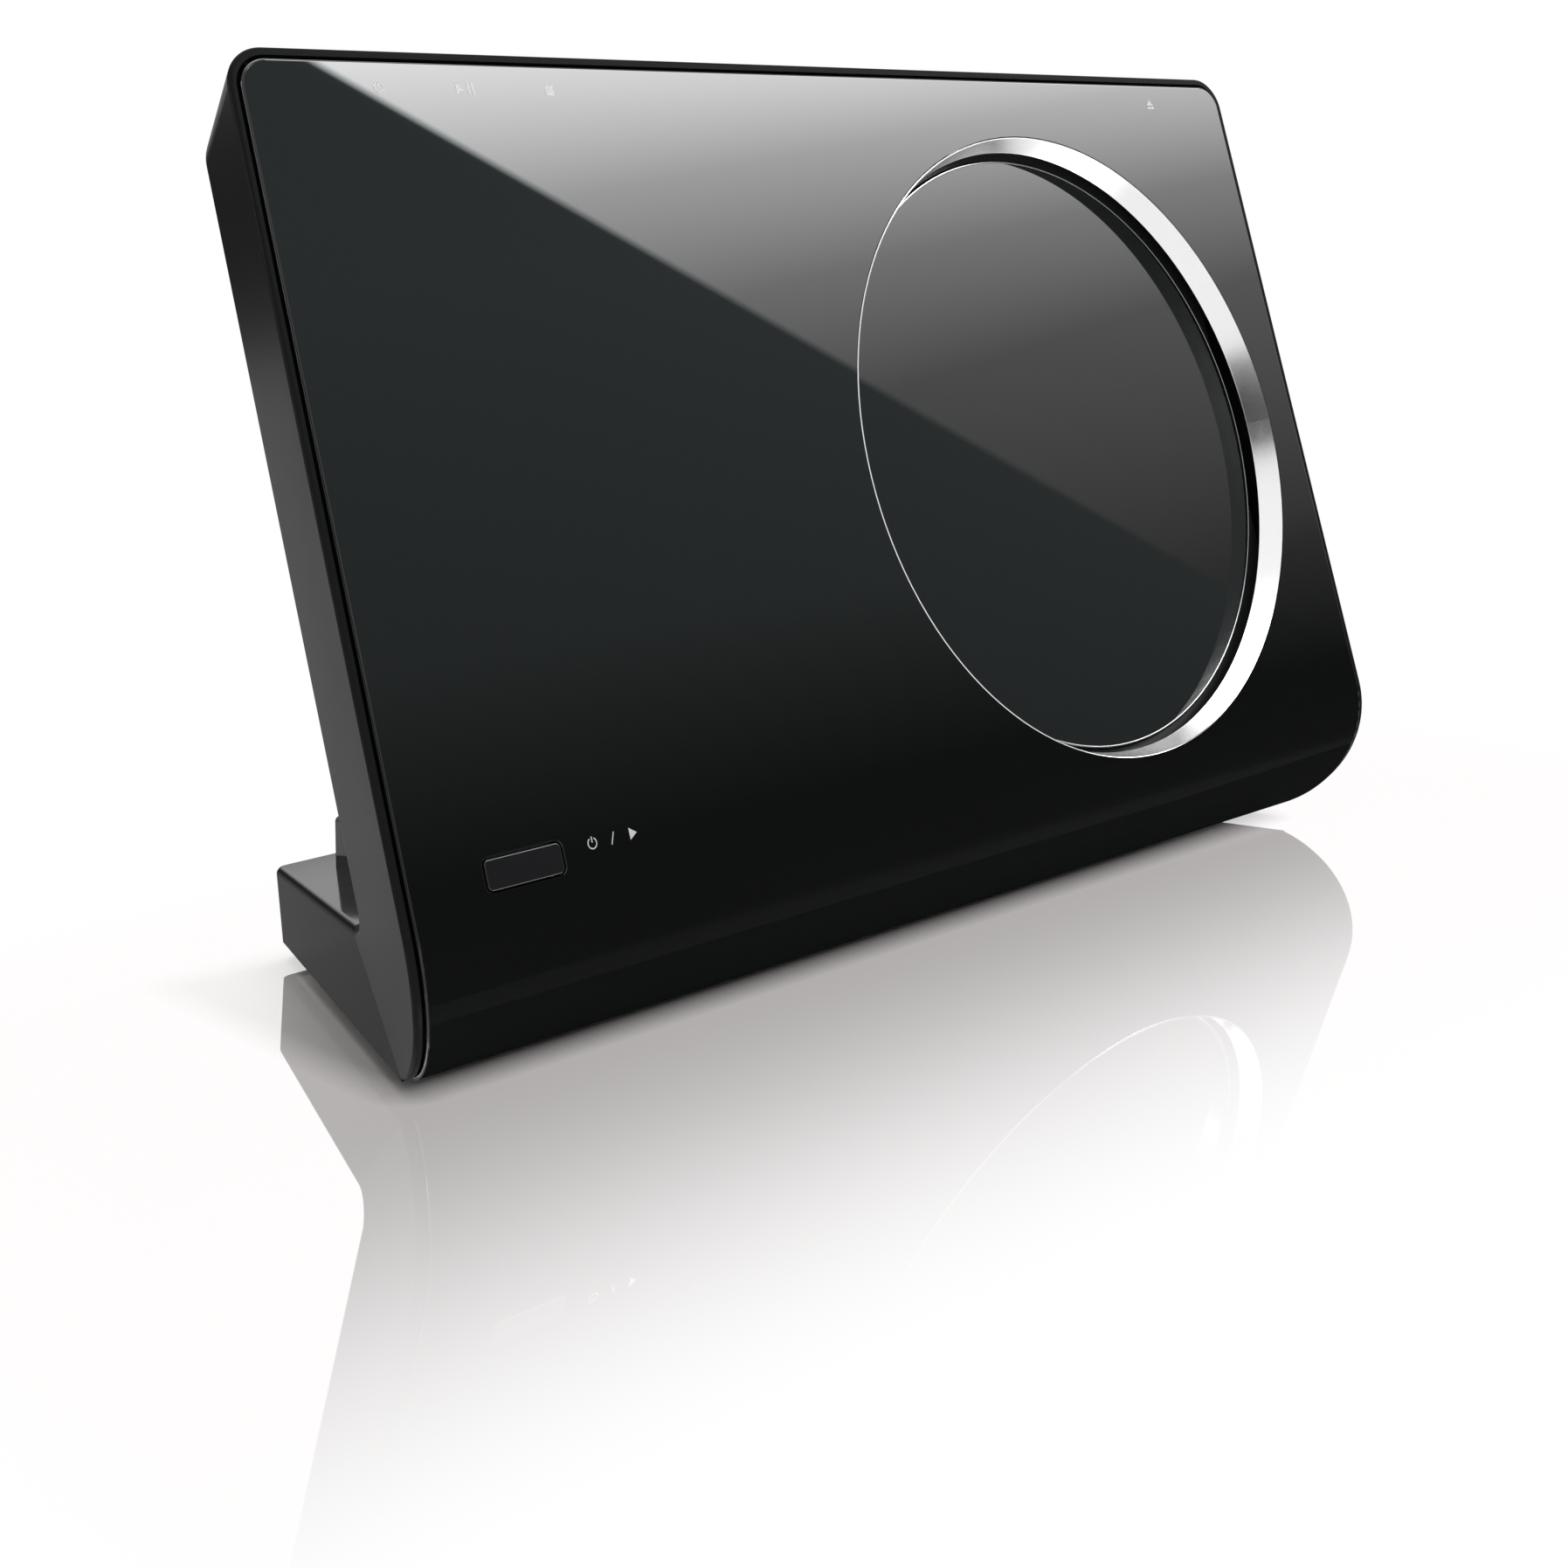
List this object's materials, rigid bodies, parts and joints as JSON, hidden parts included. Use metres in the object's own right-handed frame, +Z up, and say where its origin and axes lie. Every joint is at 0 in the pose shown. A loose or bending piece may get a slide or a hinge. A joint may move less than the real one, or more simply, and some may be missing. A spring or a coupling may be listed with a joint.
{
  "type": "upright disc player",
  "caption": "Slim upright disc player leaning back on its own stand, with a round sliding door in a silver ring in a gloss front panel.",
  "frame": {"origin": "on the floor under the middle of the part's bounding box", "axes": "+X to the right as seen from the front, -Y towards the viewer, +Z up; the front panel leans back 18.6 degrees"},
  "size_m": [0.2916, 0.0965, 0.1839],
  "materials": {
    "satin_grey": "satin",
    "dark_grey": "satin",
    "gloss_grey": "gloss",
    "gloss_black": "gloss",
    "silver": "satin",
    "smoked": "gloss",
    "rubber": "matte",
    "inner_black": "matte",
    "inner_grey": "matte",
    "nylon": "satin",
    "motor_steel": "satin",
    "steel": "polished",
    "lens": "gloss",
    "board_green": "satin",
    "board_tan": "satin",
    "chip_black": "matte",
    "transformer_yellow": "satin",
    "lamp_red": "gloss",
    "key_grey": "satin",
    "socket_yellow": "satin",
    "socket_white": "satin",
    "socket_red": "satin"
  },
  "bodies": {
    "casing": {"base_cover": "dark_grey", "base_screws": "steel", "bezel_ring": "silver", "capacitors": "chip_black", "deck_dampers": "rubber", "deck_screws": "steel", "digital_socket": "steel", "door_motor": "motor_steel", "drive_belt": "rubber", "front_panel": "gloss_black", "guide_rod": "steel", "ir_board": "board_green", "ir_receiver": "chip_black", "ir_window": "smoked", "jack_housing": "gloss_grey", "jack_plate": "dark_grey", "key_board": "board_green", "key_switches": "chip_black", "left_audio_socket": "socket_white", "loader_deck": "inner_grey", "lower_rail": "inner_black", "main_board": "board_green", "main_chips": "chip_black", "mains_inlet": "chip_black", "phono_barrels": "steel", "power_board": "board_tan", "rear_shell": "satin_grey", "right_audio_socket": "socket_red", "rubber_feet": "rubber", "sled_motor": "motor_steel", "spindle_motor": "motor_steel", "stand_base": "satin_grey", "status_lamp": "lamp_red", "transformer": "transformer_yellow", "upper_rail": "inner_black", "video_socket": "socket_yellow"},
    "door": {"door_panel": "gloss_black", "door_carrier": "inner_black"},
    "pinion": {"drive_pinion": "nylon"},
    "motor_shaft": {"motor_pulley": "nylon"},
    "spindle": {"turntable": "inner_black", "hub_balls": "steel"},
    "pickup": {"pickup_sled": "inner_black", "objective_lens": "lens"},
    "sled_screw": {"lead_screw": "steel"},
    "standby_key": {"standby_button": "key_grey"},
    "play_key": {"play_button": "key_grey"},
    "stop_key": {"stop_button": "key_grey"},
    "open_key": {"open_button": "key_grey"}
  },
  "joints": [
    {"name": "door_slide", "type": "slide", "parent": "casing", "child": "door", "axis": [-1, 0, 0], "range_m": [0, 0.1295]},
    {"name": "pinion_spin", "type": "hinge", "parent": "casing", "child": "pinion", "pos_m": [-0.0038, -0.03107, 0.04142], "axis": [0, 0.9478, -0.319], "range_deg": [0, 1240]},
    {"name": "motor_spin", "type": "hinge", "parent": "casing", "child": "motor_shaft", "pos_m": [-0.0438, -0.02681, 0.03998], "axis": [0, 0.9478, -0.319], "range_deg": [0, 3900]},
    {"name": "turntable_spin", "type": "hinge", "parent": "casing", "child": "spindle", "pos_m": [0.0612, -0.01162, 0.09607], "axis": [0, -0.9478, 0.319], "continuous": true},
    {"name": "sled_slide", "type": "slide", "parent": "casing", "child": "pickup", "axis": [-1, 0, 0], "range_m": [0, 0.034]},
    {"name": "lead_screw_spin", "type": "hinge", "parent": "casing", "child": "sled_screw", "pos_m": [0.0172, -0.0082, 0.07804], "axis": [1, 0, 0], "range_deg": [0, 4090]},
    {"name": "standby_press", "type": "slide", "parent": "casing", "child": "standby_key", "axis": [0, -0.4399, -0.898], "range_m": [0, 0.0008], "stiffness_N_per_m": 500, "springref_m": -0.0004},
    {"name": "play_press", "type": "slide", "parent": "casing", "child": "play_key", "axis": [0, -0.4399, -0.898], "range_m": [0, 0.0008], "stiffness_N_per_m": 500, "springref_m": -0.0004},
    {"name": "stop_press", "type": "slide", "parent": "casing", "child": "stop_key", "axis": [0, -0.4399, -0.898], "range_m": [0, 0.0008], "stiffness_N_per_m": 500, "springref_m": -0.0004},
    {"name": "open_press", "type": "slide", "parent": "casing", "child": "open_key", "axis": [0, -0.4399, -0.898], "range_m": [0, 0.0008], "stiffness_N_per_m": 500, "springref_m": -0.0004}
  ],
  "couplings": [
    {"joint": "pinion_spin", "follows": "door_slide", "rad_per_m": 166.67},
    {"joint": "motor_spin", "follows": "door_slide", "rad_per_m": 523.81},
    {"joint": "lead_screw_spin", "follows": "sled_slide", "rad_per_m": 2094.4}
  ]
}
